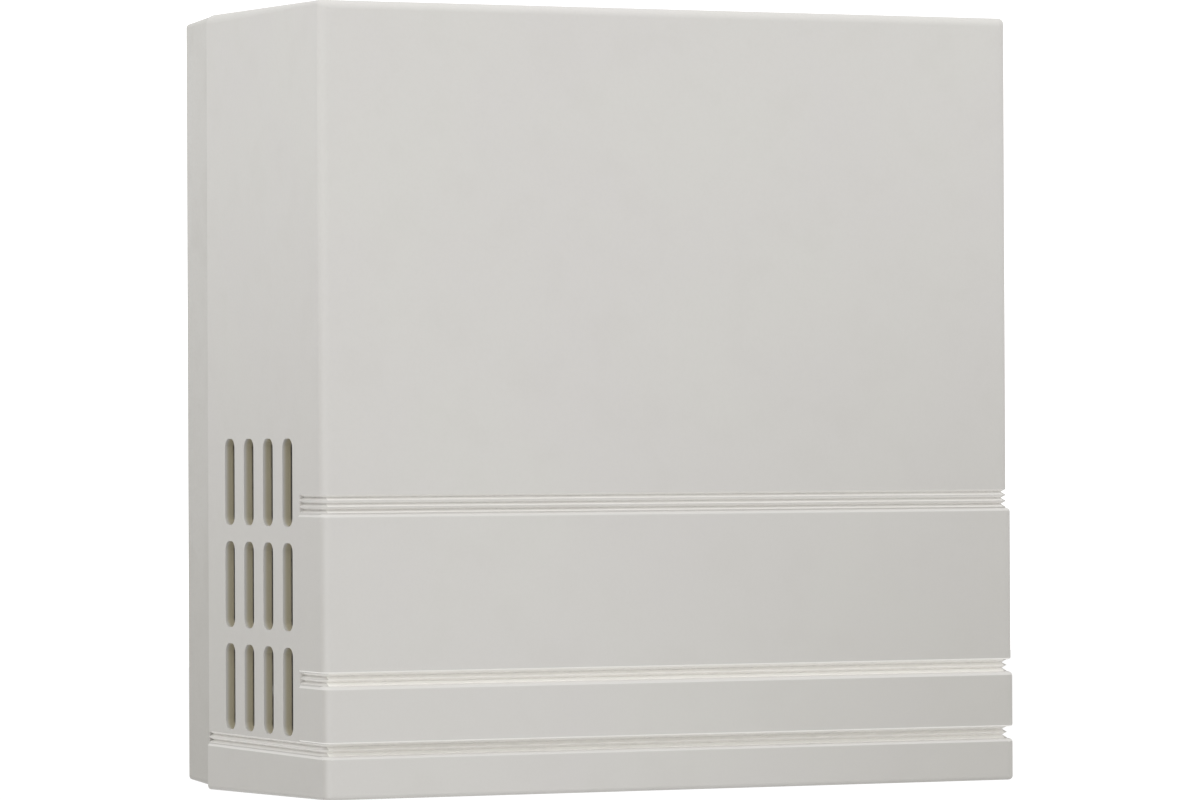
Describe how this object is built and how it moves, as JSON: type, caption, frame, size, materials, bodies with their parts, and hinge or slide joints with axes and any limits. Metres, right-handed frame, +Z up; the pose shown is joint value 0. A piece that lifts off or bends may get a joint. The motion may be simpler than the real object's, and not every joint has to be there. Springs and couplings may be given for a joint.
{
  "type": "doorbell chime box",
  "caption": "Wall-mounted doorbell chime box: drafted plastic cover with grooved bands and side sound slots over a pan with two tone bars, two solenoids and terminals.",
  "frame": {"origin": "middle of the back face of the base pan, on the wall", "axes": "+Z up along the wall, +X to the right as seen from the room, +Y out of the back face into the wall"},
  "size_m": [0.1874, 0.095, 0.193],
  "materials": {
    "housing_plastic": "fine satin texture of a moulded off-white plastic",
    "chassis_steel": "zinc plated bent sheet",
    "screw_steel": "zinc plated",
    "nylon": "natural nylon",
    "copper_wire": "enamelled copper wire",
    "coil_tape": "thin varnished tape",
    "core_steel": "turned soft iron",
    "spring_steel": "bright spring wire",
    "black_rubber": "soft moulded rubber",
    "bar_steel": "plated steel bar with a fine grain",
    "block_plastic": "moulded phenolic",
    "terminal_brass": "bright brass",
    "lead_insulation": "thin varnished sleeve"
  },
  "bodies": {
    "pan": {"base_pan": "housing_plastic", "solenoid_chassis": "chassis_steel", "chassis_screws": "screw_steel", "front_bobbin": "nylon", "rear_bobbin": "nylon", "front_winding": "copper_wire", "rear_winding": "copper_wire", "front_winding_wrap": "coil_tape", "rear_winding_wrap": "coil_tape", "front_return_spring": "spring_steel", "rear_return_spring": "spring_steel", "rear_bumper": "black_rubber", "tone_bar_low": "bar_steel", "tone_bar_high": "bar_steel", "bar_grommets": "black_rubber", "bar_retainers": "spring_steel", "terminal_block": "block_plastic", "terminal_plates": "terminal_brass", "terminal_screws": "terminal_brass", "terminal_block_screws": "screw_steel", "front_coil_leads": "lead_insulation", "rear_coil_leads": "lead_insulation"},
    "front_plunger": {"front_plunger_core": "core_steel", "front_plunger_spring_rod": "nylon", "front_plunger_striker_rod": "nylon"},
    "rear_plunger": {"rear_plunger_core": "core_steel", "rear_plunger_spring_rod": "nylon", "rear_plunger_striker_rod": "nylon"},
    "front_cover": {"cover": "housing_plastic"}
  },
  "joints": [
    {"name": "cover_pull_off", "type": "slide", "parent": "pan", "child": "front_cover", "axis": [0, -1, 0], "range_m": [0, 0.11]},
    {"name": "front_plunger_stroke", "type": "slide", "parent": "pan", "child": "front_plunger", "axis": [1, 0, 0], "range_m": [-0.0029, 0.0059], "stiffness_N_per_m": 30, "deforming": ["front_return_spring"]},
    {"name": "rear_plunger_stroke", "type": "slide", "parent": "pan", "child": "rear_plunger", "axis": [1, 0, 0], "range_m": [0, 0.0059], "stiffness_N_per_m": 30, "deforming": ["rear_return_spring"]}
  ]
}
